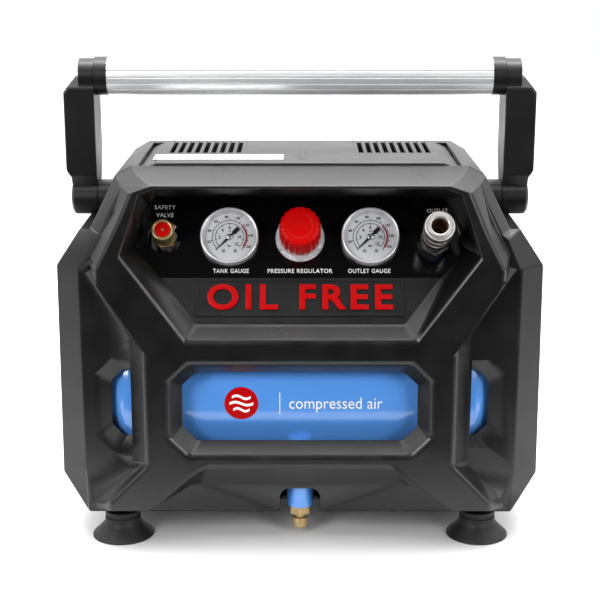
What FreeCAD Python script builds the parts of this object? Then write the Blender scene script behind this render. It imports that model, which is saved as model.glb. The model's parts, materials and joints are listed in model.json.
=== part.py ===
import FreeCAD, Part
import math
import os

# Portable air compressor: moulded two-part shell, 6 litre tank, direct-drive oil-free pump,
# sloping control panel and a fold-down carrying handle. Millimetres, +Z up, the front faces -Y.
# Depths are measured back from the front plane of the shell; export() moves the origin
# to the floor under the middle of the whole object.

V = FreeCAD.Vector

# ---- driving dimensions ----
DEPTH = 200.0                 # front plane to rear plane of the shell
MID = DEPTH / 2               # seam between the shells, tank axis and handle pivot
WALL = 3.0                    # shell wall
RIM = 30.0                    # depth of the shell's widest rim behind the front plane
STEP = 18.0                   # depth of the set-back side faces
SHELL_TOP = 306.8
SHELL_BOTTOM = 22.0
GAP = 0.3                     # clearance between bodies
FIT = 0.05                    # running fit, radial

TANK_R, TANK_HALF, TANK_DOME, TANK_Z = 76.0, 134.0, 38.0, 116.0

PIVOT_Z = 268.0               # handle pivot
TUBE_Z = 366.0                # handle tube centre, handle upright
TUBE_R = 15.0
TUBE_HALF = 153.4
ARM_IN, ARM_OUT, HUB_OUT = 163.6, 188.2, 184.8
HUB_R = 14.0

PANEL_TILT = 28.0             # lean of the control panel from upright
PANEL_DEPTH, PANEL_Z = 36.0, 229.0
LABEL_T = 0.8
GAUGE_U, GAUGE_V, GAUGE_R = 55.0, 18.0, 22.9
SAFETY_U, SAFETY_V = -106.0, 19.0
COUPLER_U, COUPLER_V = 104.7, 13.0

FOOT_X, FOOT_INSET, FOOT_R = 144.7, 35.0, 25.0
DRAIN_DEPTH = 36.0

SHAFT_DEPTH, SHAFT_Z = 134.0, 240.0
MOTOR_R = 34.0
CRANK_E = 7.0                 # crank throw, half the stroke
BORE_R = 24.0
PUMP_X = -48.0                # cylinder centre line

COVER_FRONT, COVER_REAR = 31.5, 155.0     # edges of the opening for the top cover
COVER_HALF = 124.0
VENT_X, SLOT_PITCH = 76.0, 6.7

# Half outlines (x, z) of the shell, listed from the top centre line down the left side.
RIM_HALF = [(-129, 304.4), (-142, 297), (-151.5, 277), (-162, 255.8), (-170, 255.8),
            (-189.2, 227), (-190.6, 55.5), (-172, SHELL_BOTTOM)]
FACE_HALF = [(-124, 300.5), (-137, 292), (-145, 273), (-155, 254), (-160, 250),
             (-170.5, 226), (-170.5, 62), (-169.5, 26.4)]
RAISED_BASE = [(-124, 300.5), (-137, 292), (-144, 268), (-161.5, 237), (-161.5, 228), (-133, 171),
               (-133, 66), (-164, 35.5), (-164, 27.4), (-124, 27.4), (-88, 48.3), (-80, 50.3)]
RAISED_FACE = [(-112, 294), (-128, 288.5), (-140, 260), (-155.5, 229), (-155.5, 219), (-120, 165),
               (-120, 72), (-150, 40.6), (-150, 33.6), (-119.5, 33.6), (-81, 66.5), (-74, 70.6)]
RECESS_MOUTH = [(-108, 292), (-121, 287), (-137, 239.5), (-89, 173.3)]
RECESS_FLOOR = [(-113, 274), (-118.5, 269.5), (-127.5, 238), (-81, 184)]


# ---- helpers ----
def box(x0, x1, y0, y1, z0, z1):
    return Part.makeBox(x1 - x0, y1 - y0, z1 - z0, V(x0, y0, z0))


def cyl(r, start, axis, length):
    return Part.makeCylinder(r, length, V(*start), V(*axis))


def fuse(*shapes):
    return shapes[0].multiFuse(list(shapes[1:])).removeSplitter() if len(shapes) > 1 else shapes[0]


def revolve(profile, centre, axis):
    """Solid of revolution from (radius, height) points about an axis through centre."""
    pts = [V(r, 0, h) for r, h in profile]
    face = Part.Face(Part.makePolygon(pts + pts[:1]))
    solid = face.revolve(V(0, 0, 0), V(0, 0, 1), 360)
    turn = FreeCAD.Rotation(V(0, 0, 1), V(*axis))
    solid.Placement = FreeCAD.Placement(V(*centre), turn)
    return solid


def hexagon(across_flats, z0, z1, start_deg=0.0):
    r = across_flats / 2 / math.cos(math.pi / 6)
    pts = [V(r * math.cos(math.radians(start_deg + 60 * i)),
             r * math.sin(math.radians(start_deg + 60 * i)), z0) for i in range(6)]
    return Part.Face(Part.makePolygon(pts + pts[:1])).extrude(V(0, 0, z1 - z0))


def both_sides(half):
    """Closed outline from its left half: down the left side, then up the right."""
    return list(half) + [(-x, z) for x, z in reversed(half)]


def area(points):
    return 0.5 * sum(a[0] * b[1] - b[0] * a[1] for a, b in zip(points, points[1:] + points[:1]))


def inset(points, d):
    """Outline moved inwards by d (outwards when d is negative)."""
    n, side = len(points), (1 if area(points) > 0 else -1)
    lines = []
    for i in range(n):
        (x0, z0), (x1, z1) = points[i], points[(i + 1) % n]
        length = math.hypot(x1 - x0, z1 - z0)
        nx, nz = -(z1 - z0) / length * side, (x1 - x0) / length * side
        lines.append((nx, nz, nx * x0 + nz * z0 + d))
    out = []
    for i in range(n):
        a, b = lines[i - 1], lines[i]
        det = a[0] * b[1] - b[0] * a[1]
        out.append(((a[2] * b[1] - b[2] * a[1]) / det, (a[0] * b[2] - b[0] * a[2]) / det))
    return out


def faceted(near, far):
    """Solid with flat facets between two outlines of 3-D points."""
    faces = [Part.Face(Part.makePolygon(list(near) + [near[0]])),
             Part.Face(Part.makePolygon(list(far) + [far[0]]))]
    n = len(near)
    for i in range(n):
        a, b, c, d = near[i], near[(i + 1) % n], far[(i + 1) % n], far[i]
        if abs((b - a).cross(c - a).normalize().dot(d - a)) < 1e-6:
            faces.append(Part.Face(Part.makePolygon([a, b, c, d, a])))
        else:
            faces.append(Part.Face(Part.makePolygon([a, b, c, a])))
            faces.append(Part.Face(Part.makePolygon([a, c, d, a])))
    solid = Part.Solid(Part.makeShell(faces))
    if solid.Volume < 0:
        solid.reverse()
    return solid


def slab(near, y0, far, y1):
    """Solid between outline `near` at depth y0 and outline `far` at depth y1."""
    return faceted([V(x, y0, z) for x, z in near], [V(x, y1, z) for x, z in far])


def cut_corners(x0, x1, z0, z1, c, left=True, right=True):
    """Rectangle with its left and right corners cut off by c."""
    pts = [(x0 + c, z1), (x0, z1 - c), (x0, z0 + c), (x0 + c, z0)] if left else [(x0, z1), (x0, z0)]
    return pts + ([(x1 - c, z0), (x1, z0 + c), (x1, z1 - c), (x1 - c, z1)] if right
                  else [(x1, z0), (x1, z1)])


def mirror_x(shape):
    return shape.mirror(V(0, 0, 0), V(1, 0, 0))


def to_rear(shape):
    """The same shape on the rear half of the object."""
    return shape.mirror(V(0, MID, 0), V(0, 1, 0))


# Panel frame: u to the right, v up the slope, w out of the panel's face.
SIN, COS = math.sin(math.radians(PANEL_TILT)), math.cos(math.radians(PANEL_TILT))


def panel_point(u, v, w=0.0):
    return V(u, PANEL_DEPTH + v * SIN - w * COS, PANEL_Z + v * COS + w * SIN)


def on_panel(shape, u, v):
    """Place a shape built round the local +Z axis on the panel, standing out of its face."""
    placed = shape.copy()
    placed.Placement = FreeCAD.Placement(panel_point(u, v),
                                         FreeCAD.Rotation(V(1, 0, 0), 90 - PANEL_TILT))
    return placed


def panel_outline(half_xz, w):
    """Outline given by (x, z) on the panel's face, moved out by w along its normal."""
    return [panel_point(x, (z - PANEL_Z) / COS, w) for x, z in both_sides(half_xz)]


# ---- shells ----
def shell_solid(d):
    """Outer form of one shell half; d moves every surface inwards."""
    rim, face = inset(both_sides(RIM_HALF), d), inset(both_sides(FACE_HALF), d)
    base, front = inset(both_sides(RAISED_BASE), d), inset(both_sides(RAISED_FACE), d)
    end = MID + (1 if d else 0)
    return fuse(slab(rim, RIM + d * 0.4, rim, end), slab(face, STEP + d, rim, RIM + d * 0.4),
                slab(front, d, base, STEP + d + 0.01))


def tank_window(grow):
    """Chamfered window in front of the tank; grow > 0 gives the moulded frame round it."""
    mouth = inset(cut_corners(-103, 103, 79.6, 155.7, 15), -grow)
    hole = inset(cut_corners(-93.7, 93.7, 88.8, 146.1, 13), -grow)
    bevel = slab(mouth, 0, hole, 11)
    if grow:
        return fuse(bevel, slab(hole, 11, hole, 13))
    return fuse(slab(inset(mouth, -0.9), -1, mouth, 0), bevel, slab(hole, 11, hole, 30))


def side_window(grow):
    mouth = inset(cut_corners(-159.4, -133, 80, 153, 12, right=False), -grow)
    hole = inset(cut_corners(-149, -133, 89.6, 144.3, 9, right=False), -grow)
    if grow:
        return slab(mouth, STEP, hole, 23.2)
    return fuse(slab(mouth, STEP - 0.5, mouth, STEP), slab(mouth, STEP, hole, 23.2),
                slab(hole, 23.2, hole, 30))


def pivot_cuts():
    cuts = [cyl(14.6, (-175, MID, PIVOT_Z), (1, 0, 0), 35), cyl(15.4, (-195, MID, PIVOT_Z), (1, 0, 0), 32)]
    return cuts + [mirror_x(c) for c in cuts]


def shell_half(cover_edge):
    """What both shells share: walls, tank windows, side windows, openings for cover and feet."""
    outer = shell_solid(0)
    frames = [tank_window(WALL), side_window(2.5), mirror_x(side_window(2.5))]
    walls = fuse(outer.cut(shell_solid(WALL)), *[f.common(outer) for f in frames])
    cuts = [tank_window(0), side_window(0), mirror_x(side_window(0)),
            box(-COVER_HALF - GAP, COVER_HALF + GAP, cover_edge, MID + 2, 285, 320)]
    cuts += [cyl(4.2, (s * FOOT_X, FOOT_INSET, 20), (0, 0, 1), 20) for s in (-1, 1)]
    return walls.cut(cuts + pivot_cuts()), outer


def recess():
    """Cutter for the panel recess, and the moulded wall and floor round it."""
    mouth = both_sides(RECESS_MOUTH)
    hole = fuse(faceted([V(x, 0, z) for x, z in mouth], panel_outline(RECESS_FLOOR, -LABEL_T)),
                slab(inset(mouth, -0.3), -2, mouth, 0))
    tray = faceted([V(x, 0, z) for x, z in inset(mouth, -WALL)],
                   [panel_point(x, (z - PANEL_Z) / COS, -LABEL_T - WALL)
                    for x, z in inset(both_sides(RECESS_FLOOR), -WALL)])
    return hole, tray


FITTING_HOLES = [(20.4, -GAUGE_U, GAUGE_V), (20.4, GAUGE_U, GAUGE_V), (13.3, 0, GAUGE_V),
                 (13.2, SAFETY_U, SAFETY_V), (13.2, COUPLER_U, COUPLER_V)]


def fitting_holes():
    return [on_panel(cyl(r, (0, 0, -12), (0, 0, 1), 16), u, v) for r, u, v in FITTING_HOLES]


def front_shell():
    walls, outer = shell_half(COVER_FRONT)
    hole, tray = recess()
    arch = fuse(box(-16.2, 16.2, 0, 52, 20, 38),
                *[cyl(8, (s * 8.2, 0, 38), (0, 1, 0), 52) for s in (-1, 1)], box(-8.2, 8.2, 0, 52, 38, 46))
    walls = fuse(walls, tray.common(outer)).cut([hole, arch] + fitting_holes())
    cover_gap = box(-COVER_HALF - GAP, COVER_HALF + GAP, COVER_FRONT, MID + 2, 285, 320)
    return walls.cut(cover_gap.cut(tray))


SWITCH_X, GLAND_X, REAR_FIT_Z = -121.0, 121.0, 236.0
SCREWS = [(s * 154.0, z) for s in (-1, 1) for z in (62.0, 190.0)]


def rear_shell():
    walls = to_rear(shell_half(DEPTH - COVER_REAR)[0])
    louvres = [box(-92, 92, DEPTH - 12, DEPTH + 2, z, z + 3.8) for z in range(190, 286, 11)]
    fittings = [box(SWITCH_X - 10.2, SWITCH_X + 10.2, DEPTH - 12, DEPTH + 2,
                    REAR_FIT_Z - 14.2, REAR_FIT_Z + 14.2),
                cyl(8.1, (GLAND_X, DEPTH - 12, REAR_FIT_Z), (0, 1, 0), 14)]
    screw_holes = [cyl(2.3, (x, DEPTH - 30, z), (0, 1, 0), 20) for x, z in SCREWS]
    return walls.cut(louvres + fittings + screw_holes)


def shell_screws():
    heads = []
    for x, z in SCREWS:
        y = DEPTH - STEP
        screw = fuse(cyl(2.2, (x, y - 9, z), (0, 1, 0), 9.2), cyl(4.6, (x, y + 0.02, z), (0, 1, 0), 2.4))
        heads.append(screw.cut(Part.makeBox(6, 3, 1.1, V(x - 3, y + 1.2, z - 0.55))))
    return Part.makeCompound(heads)


def top_cover():
    """Flat cover with two louvred vents that run over its rear ridge."""
    def profile(d):
        top = SHELL_TOP - d
        return [(-COVER_HALF + d, 296.5), (-COVER_HALF + d, 301 - d * 0.4), (-110 + d * 0.2, top),
                (110 - d * 0.2, top), (COVER_HALF - d, 301 - d * 0.4), (COVER_HALF - d, 296.5)]
    y0, y1 = COVER_FRONT + GAP, COVER_REAR - GAP
    solid = slab(profile(0), y0, profile(0), y1)
    vent = [V(-VENT_X - 32, y, z) for y, z in ((79, 302), (79, SHELL_TOP), (y1 - 4, SHELL_TOP + 1), (y1 - 4, 302))]
    vent = Part.Face(Part.makePolygon(vent + vent[:1])).extrude(V(64, 0, 0))
    solid = fuse(solid, vent, mirror_x(vent))
    ridge = [V(-140, y1 - 8, SHELL_TOP + 1.2), V(-140, y1 + 1, SHELL_TOP + 1.2), V(-140, y1 + 1, 300)]
    ridge = Part.Face(Part.makePolygon(ridge + ridge[:1])).extrude(V(280, 0, 0))
    hollow = slab([(x, z - (5 if z < 297 else 0)) for x, z in profile(2.6)], y0 + 2.6,
                  [(x, z - (5 if z < 297 else 0)) for x, z in profile(2.6)], y1 - 2.6)
    slots = [box(x - 1.7, x + 1.7, 83, y1 + 1, 302.5, 310)
             for x in [s * VENT_X + (i - 4) * SLOT_PITCH for s in (-1, 1) for i in range(9)]]
    return solid.cut([ridge, hollow] + slots)


def control_panel():
    outline = [(x * 0.999, z) for x, z in inset(both_sides(RECESS_FLOOR), 0.4)]
    plate = faceted([panel_point(x, (z - PANEL_Z) / COS, 0) for x, z in outline],
                    [panel_point(x, (z - PANEL_Z) / COS, -LABEL_T + 0.02) for x, z in outline])
    return plate.cut(fitting_holes())


def name_plate():
    """Raised plate under the fittings that carries the lettering."""
    plate = box(-81, 81, -45, -15, 0.02, 1.0)
    return on_panel(plate.cut(box(-78.5, 78.5, -42.8, -17.2, 0.5, 2)), 0, 0)


# ---- tank, feet, drain ----
def air_tank():
    """Welded tank: straight barrel, two domed ends with weld beads, and a drain boss."""
    def body(r, dome):
        arc = [(TANK_HALF + dome * math.sin(a), r * math.cos(a))
               for a in [math.radians(9 * i) for i in range(11)]]
        line = [V(-x, 0, z) for x, z in reversed(arc)] + [V(x, 0, z) for x, z in arc]
        solid = Part.Face(Part.makePolygon(line + line[:1])).revolve(V(0, 0, 0), V(1, 0, 0), 360)
        solid.translate(V(0, MID, TANK_Z))
        return solid
    beads = [cyl(TANK_R + 0.8, (s * TANK_HALF - 2, MID, TANK_Z), (1, 0, 0), 4) for s in (-1, 1)]
    boss = cyl(11, (0, DRAIN_DEPTH, 26), (0, 0, 1), 60)
    ports = [cyl(9, (-110, MID, 185), (0, 0, 1), 12), cyl(8, (-60, 84, 175), (0, 0, 1), 18)]
    solid = fuse(body(TANK_R, TANK_DOME), boss, *beads, *ports)
    drill = [cyl(5, (0, DRAIN_DEPTH, 25), (0, 0, 1), 62), cyl(5.2, (-110, MID, 170), (0, 0, 1), 30),
             cyl(4.2, (-60, 84, 170), (0, 0, 1), 30)]
    return solid.cut([body(TANK_R - 2.5, TANK_DOME - 2.5)] + drill)


def tank_bracket(side):
    """Saddle that carries the tank in the shells."""
    x = side * 95.0
    web = box(x - 2, x + 2, 52, 148, SHELL_BOTTOM + WALL + 0.05, 66)
    foot = box(x - 12, x + 12, 52, 148, SHELL_BOTTOM + WALL + 0.05, SHELL_BOTTOM + WALL + 3)
    return fuse(web, foot).cut(cyl(TANK_R + 0.05, (x - 20, MID, TANK_Z), (1, 0, 0), 40))


def foot(x, y):
    """Rubber suction foot: hollow cone under a grooved neck."""
    profile = [(4.1, 3.4), (19, 3.4), (23, 0), (25, 0), (25, 1.5), (15.4, 10.8), (14.4, 12.8),
               (14.4, 16.4), (13.2, 16.9), (13.2, 17.7), (14.4, 18.2), (14.4, SHELL_BOTTOM - 0.02),
               (4.1, SHELL_BOTTOM - 0.02)]
    return revolve(profile, (x, y, 0), (0, 0, 1))


FEET = {"foot_front_left": (-FOOT_X, FOOT_INSET), "foot_front_right": (FOOT_X, FOOT_INSET),
        "foot_rear_left": (-FOOT_X, DEPTH - FOOT_INSET), "foot_rear_right": (FOOT_X, DEPTH - FOOT_INSET)}


def foot_bolts():
    bolts = []
    for x, y in FEET.values():
        nut = hexagon(10, SHELL_BOTTOM + 6.2, SHELL_BOTTOM + 10.7)
        nut.translate(V(x, y, 0))
        bolts.append(fuse(cyl(4, (x, y, 3.4), (0, 0, 1), SHELL_BOTTOM + 7.7), cyl(8, (x, y, 1.9), (0, 0, 1), 1.45), nut))
    return Part.makeCompound(bolts)


def drain_valve_body():
    """Brass drain valve screwed up into the tank's boss."""
    nut = hexagon(15.4, 18.5, 25.95, 30)
    nut.translate(V(0, DRAIN_DEPTH, 0))
    body = fuse(nut, cyl(4.9, (0, DRAIN_DEPTH, 25), (0, 0, 1), 14),
                cyl(5.6, (0, DRAIN_DEPTH, 16.8), (0, 0, 1), 2))
    return body.cut(cyl(2.5 + FIT, (0, DRAIN_DEPTH, 10), (0, 0, 1), 40))


def drain_valve_knob():
    head = cyl(6.5, (0, DRAIN_DEPTH, 6), (0, 0, 1), 8.6)
    grips = [cyl(1.0, (6.9 * math.cos(a), DRAIN_DEPTH + 6.9 * math.sin(a), 5), (0, 0, 1), 11)
             for a in [math.radians(20 * i) for i in range(18)]]
    return fuse(head, cyl(3.6, (0, DRAIN_DEPTH, 14), (0, 0, 1), 2.4),
                cyl(2.5, (0, DRAIN_DEPTH, 16), (0, 0, 1), 18)).cut(grips)


# ---- pump and motor ----
def shaft_cyl(r, x0, x1):
    return cyl(r, (x0, SHAFT_DEPTH, SHAFT_Z), (1, 0, 0), x1 - x0)


def pump_plate():
    """Steel tray that carries pump and motor on the tank."""
    tray = box(-72, 92, 86, 172, 195, 198)
    legs = [box(x, x + 4, 70, 130, 176, 197) for x in (-72, 88)]
    return fuse(tray, *legs).cut([cyl(TANK_R + 0.05, (-80, MID, TANK_Z), (1, 0, 0), 180),
                                  cyl(8.4, (-60, 84, 170), (0, 0, 1), 40)])


def vibration_mounts():
    return Part.makeCompound([cyl(7, (x, y, 198.05), (0, 0, 1), 7.9)
                              for x in (-50, 60) for y in (114, 154)])


def motor_housing():
    """Stator with cooling ribs on a cast foot."""
    ribs = []
    for i in range(24):
        rib = box(6, 62, -1, 1, MOTOR_R - 4, MOTOR_R - 0.5)
        rib.rotate(V(0, 0, 0), V(1, 0, 0), i * 15)
        rib.translate(V(0, SHAFT_DEPTH, SHAFT_Z))
        ribs.append(rib)
    base = box(-12, 70, 104, 164, 206, 211)
    body = fuse(shaft_cyl(MOTOR_R - 3, -14, 72), shaft_cyl(MOTOR_R, -14, 4), shaft_cyl(MOTOR_R, 64, 72),
                base, *ribs)
    return body.cut([shaft_cyl(24, -8, 73), shaft_cyl(6 + FIT, -20, 0)])


def motor_end_cap():
    return fuse(shaft_cyl(MOTOR_R, 72.05, 77), shaft_cyl(13, 76, 84)).cut(shaft_cyl(6 + FIT, 60, 90))


def rotor_shaft():
    return fuse(shaft_cyl(6, PUMP_X + 10.4, 104), shaft_cyl(23.6, -2, 66))


def cooling_fan():
    blades = []
    for i in range(9):
        blade = box(88, 101, -0.9, 0.9, 8, 33)
        blade.rotate(V(94.5, 0, 0), V(0, 0, 1), 28)
        blade.rotate(V(0, 0, 0), V(1, 0, 0), 40 * i)
        blade.translate(V(0, SHAFT_DEPTH, SHAFT_Z))
        blades.append(blade)
    return fuse(shaft_cyl(10, 87, 102), *blades).cut(shaft_cyl(6.01, 80, 110))


def crankcase():
    x0, x1 = PUMP_X - 28, PUMP_X + 26
    block = box(x0, x1, SHAFT_DEPTH - 30, SHAFT_DEPTH + 30, 206, 258)
    room = box(x0 - 1, x1 - 5, SHAFT_DEPTH - 25, SHAFT_DEPTH + 25, 211, 253)
    neck = cyl(BORE_R + 0.2, (PUMP_X, SHAFT_DEPTH, 250), (0, 0, 1), 10)
    return block.cut([room, neck, shaft_cyl(6 + FIT, -30, 0)])


def eccentric():
    """Crank disc with its counterweight, fixed to the shaft."""
    x = PUMP_X + 10
    disc = shaft_cyl(15, x, x + 8)
    weight = shaft_cyl(21, x, x + 6).common(box(x, x + 8, 100, 170, SHAFT_Z, SHAFT_Z + 30))
    return fuse(disc, weight).cut(shaft_cyl(6.01, x - 5, x + 10))


PISTON_Z = SHAFT_Z - CRANK_E + 30     # piston crown at the bottom of its stroke


def connecting_rod():
    """Rod with its bearing, hung on the crank pin. The pin stops just short of the disc."""
    z = SHAFT_Z - CRANK_E
    ring = cyl(9, (PUMP_X - 4, SHAFT_DEPTH, z), (1, 0, 0), 8)
    pin = cyl(4, (PUMP_X - 5, SHAFT_DEPTH, z), (1, 0, 0), 15 - GAP)
    blade = box(PUMP_X - 3, PUMP_X + 3, SHAFT_DEPTH - 4.5, SHAFT_DEPTH + 4.5, z + 6, PISTON_Z - 0.02)
    return fuse(ring, pin, blade)


def piston():
    """Wobble piston: disc with a cup seal, clamped on the rod."""
    return fuse(cyl(BORE_R - 0.06, (PUMP_X, SHAFT_DEPTH, PISTON_Z), (0, 0, 1), 4.5),
                cyl(13, (PUMP_X, SHAFT_DEPTH, PISTON_Z + 4.5), (0, 0, 1), 1.2))


def cylinder():
    sleeve = cyl(29, (PUMP_X, SHAFT_DEPTH, 258.05), (0, 0, 1), 25)
    fins = [cyl(33, (PUMP_X, SHAFT_DEPTH, z), (0, 0, 1), 1.6) for z in (262, 267, 272, 277)]
    return fuse(sleeve, *fins).cut(cyl(BORE_R, (PUMP_X, SHAFT_DEPTH, 250), (0, 0, 1), 40))


def cylinder_head():
    head = fuse(box(PUMP_X - 25, PUMP_X + 25, SHAFT_DEPTH - 25, SHAFT_DEPTH + 25, 283.1, 291),
                *[box(PUMP_X - 25, PUMP_X + 25, SHAFT_DEPTH - 25 + 7.8 * i, SHAFT_DEPTH - 22 + 7.8 * i, 290, 295.5)
                  for i in range(7)])
    holes = [cyl(2.6, (PUMP_X + sx * 20, SHAFT_DEPTH + sy * 20, 280), (0, 0, 1), 25)
             for sx in (-1, 1) for sy in (-1, 1)]
    return head.cut(holes)


def head_bolts():
    bolts = []
    for sx in (-1, 1):
        for sy in (-1, 1):
            x, y = PUMP_X + sx * 20, SHAFT_DEPTH + sy * 20
            bolts.append(cyl(2.5, (x, y, 283.2), (0, 0, 1), 12.6))
    return Part.makeCompound(bolts)


def intake_filter():
    return fuse(cyl(3.7, (PUMP_X - 34, SHAFT_DEPTH, 287.1), (1, 0, 0), 8.9),
                cyl(9.5, (PUMP_X - 54, SHAFT_DEPTH, 287.1), (1, 0, 0), 20.5))


def pipe(points, r):
    """Bent pipe: straight runs joined by rounded elbows."""
    parts = []
    for a, b in zip(points, points[1:]):
        run = V(*b) - V(*a)
        parts.append(Part.makeCylinder(r, run.Length, V(*a), run))
    parts += [Part.makeSphere(r, V(*p)) for p in points[1:-1]]
    return fuse(*parts)


def discharge_pipe():
    y = SHAFT_DEPTH + 25.05
    return pipe([(PUMP_X, y, 287.2), (PUMP_X, 169, 287.2), (-110, 169, 287.2), (-110, 169, 234),
                 (-110, MID, 234), (-110, MID, 219)], 3.6)


def check_valve():
    nut = hexagon(19, 198, 208)
    nut.translate(V(-110, MID, 0))
    return fuse(nut, cyl(5.1, (-110, MID, 186), (0, 0, 1), 12.5), cyl(6.5, (-110, MID, 207), (0, 0, 1), 11.95))


def pressure_switch():
    return fuse(box(-148, -122, 96, 140, 205, 243), cyl(6, (-135, MID + 18, 192.5), (0, 0, 1), 14))


def capacitor():
    return fuse(cyl(17, (108, 136, 222), (1, 0, 0), 52), cyl(5, (160, 136, 222), (1, 0, 0), 4))


# ---- air fittings on the panel ----
def manifold():
    bar = box(-112, 112, 10, 26, -50, -37)
    return on_panel(bar.cut(cyl(4, (-113, 18, -43.5), (1, 0, 0), 226)), 0, 0)


def panel_hose():
    return cyl(5, (-60, 84, 193.05), (0, 0, 1), 20)


def regulator_body():
    body = fuse(cyl(13, (0, 0, -36.9), (0, 0, 1), 42), cyl(12, (0, 0, 5), (0, 0, 1), 7))
    return on_panel(body.cut(cyl(4.3 + FIT, (0, 0, -14), (0, 0, 1), 30)), 0, GAUGE_V)


def regulator_nut():
    nut = hexagon(33.4, 0.05, 6.5, 30).common(revolve([(0, 0.05), (19.3, 0.05), (19.3, 4.6), (17, 6.5),
                                                      (0, 6.5)], (0, 0, 0), (0, 0, 1)))
    return on_panel(nut.cut(cyl(13.05, (0, 0, -1), (0, 0, 1), 10)), 0, GAUGE_V)


def adjusting_screw():
    return on_panel(fuse(cyl(4.3, (0, 0, -12), (0, 0, 1), 25), hexagon(12, 12.4, 24)), 0, GAUGE_V)


def regulator_knob():
    """Scalloped knob: it turns the screw by a hexagon and pulls out to unlock."""
    profile = [(0, 8.6), (15.4, 8.6), (16, 9.6), (16, 31.5), (14.5, 33.5), (0, 33.5)]
    knob = revolve(profile, (0, 0, 0), (0, 0, 1))
    scallops = [cyl(3.4, (18.4 * math.cos(a), 18.4 * math.sin(a), 11), (0, 0, 1), 30)
                for a in [math.radians(30 * i) for i in range(12)]]
    return on_panel(knob.cut(scallops + [cyl(12.5, (0, 0, 0), (0, 0, 1), 13.2), hexagon(12.3, 8, 28.5)]),
                    0, GAUGE_V)


def gauge_case(u):
    case = revolve([(0, -24), (20, -24), (20, 0.05), (22, 0.05), (22.9, 1), (22.9, 8.2), (21.9, 9.8),
                    (20.7, 9.8), (20.7, 3), (0, 3)], (0, 0, 0), (0, 0, 1))
    stem = cyl(6.5, (0, 0, -36.95), (0, 0, 1), 13.5)
    return on_panel(fuse(case, stem), u, GAUGE_V)


def gauge_dial(u):
    return on_panel(cyl(20.6, (0, 0, 3.02), (0, 0, 1), 0.8).cut(cyl(1.2 + FIT, (0, 0, 2), (0, 0, 1), 4)),
                    u, GAUGE_V)


def gauge_needle(u):
    """Tapered pointer at the zero mark, low on the left, with a broad tail."""
    pointer = [V(-1.1, 0, 4.6), V(-0.35, -15.5, 4.6), (V(0.35, -15.5, 4.6)), V(1.1, 0, 4.6),
               V(1.5, 6.5, 4.6), V(-1.5, 6.5, 4.6)]
    blade = Part.Face(Part.makePolygon(pointer + pointer[:1])).extrude(V(0, 0, 0.6))
    blade.rotate(V(0, 0, 0), V(0, 0, 1), -45)
    return on_panel(fuse(blade, cyl(2.8, (0, 0, 4.5), (0, 0, 1), 1.5), cyl(1.2, (0, 0, 3.4), (0, 0, 1), 1.5)),
                    u, GAUGE_V)


def gauge_lens(u):
    return on_panel(cyl(20.6, (0, 0, 7.4), (0, 0, 1), 1.4), u, GAUGE_V)


def safety_valve_body():
    body = revolve([(0, -37), (6, -37), (6, -8), (7.9, -6), (7.9, 9), (8.6, 10), (8.6, 15), (0, 15)],
                   (0, 0, 0), (0, 0, 1))
    return on_panel(body.cut(cyl(2 + FIT, (0, 0, -5), (0, 0, 1), 30)), SAFETY_U, SAFETY_V)


def safety_valve_cap():
    cap = revolve([(0, 15.4), (7.6, 15.4), (8.6, 16.4), (8.6, 21), (7.4, 22), (1.3, 22), (1.3, 20.5),
                   (0, 20.5)], (0, 0, 0), (0, 0, 1))
    return on_panel(fuse(cap, cyl(2, (0, 0, 0), (0, 0, 1), 16)), SAFETY_U, SAFETY_V)


def coupler_body():
    """Quick coupler: nipple into the manifold, hexagon, barrel and socket."""
    body = revolve([(0, -37), (7, -37), (7, -10), (10, -9), (10, 1), (9.3, 9), (9.3, 14.5), (8.4, 15.5),
                    (8.4, 49), (9.3, 50), (9.3, 52.6), (8.6, 53.4), (0, 53.4)], (0, 0, 0), (0, 0, 1))
    body = fuse(body, hexagon(21, 2, 10))
    bore = fuse(cyl(6.2, (0, 0, 26.4), (0, 0, 1), 40), cyl(5.4, (0, 0, 8), (0, 0, 1), 18.5),
                cyl(3, (0, 0, -38), (0, 0, 1), 50))
    return on_panel(body.cut(bore), COUPLER_U, COUPLER_V)


def coupler_sleeve():
    """Knurled release sleeve, pushed back to free the plug."""
    sleeve = revolve([(8.8, 21), (10.8, 21), (11.6, 22), (11.6, 29), (10.9, 30.5), (10.9, 40), (11.6, 41.5),
                      (11.6, 50.6), (10.9, 51.6), (9.6, 51.6), (9.6, 48.6), (8.8, 48)], (0, 0, 0), (0, 0, 1))
    grooves = [cyl(0.45, (11.8 * math.cos(a), 11.8 * math.sin(a), 42.5), (0, 0, 1), 7.5)
               for a in [math.radians(10 * i) for i in range(36)]]
    return on_panel(sleeve.cut(grooves), COUPLER_U, COUPLER_V)


def coupler_poppet():
    profile = [(0, 14), (3.2, 14), (3.2, 20), (5.3, 21), (5.3, 24.5), (4.2, 26), (0, 26)]
    return on_panel(revolve(profile, (0, 0, 0), (0, 0, 1)), COUPLER_U, COUPLER_V)


# ---- handle ----
def handle_tube():
    tube = cyl(TUBE_R, (-TUBE_HALF, MID, TUBE_Z), (1, 0, 0), 2 * TUBE_HALF)
    flutes = []
    for i in range(18):
        a = math.radians(20 * i)
        y, z = (TUBE_R + 0.35) * math.cos(a), (TUBE_R + 0.35) * math.sin(a)
        flutes.append(cyl(0.9, (-TUBE_HALF - 1, MID + y, TUBE_Z + z), (1, 0, 0), 2 * TUBE_HALF + 2))
    return tube.cut(flutes + [cyl(13, (-170, MID, TUBE_Z), (1, 0, 0), 340)])


def handle_collars():
    left = fuse(cyl(15.2, (-163.5, MID, TUBE_Z), (1, 0, 0), 10.0),
                cyl(12.9, (-172, MID, TUBE_Z), (1, 0, 0), 34))
    return Part.makeCompound([left, mirror_x(left)])


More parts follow.
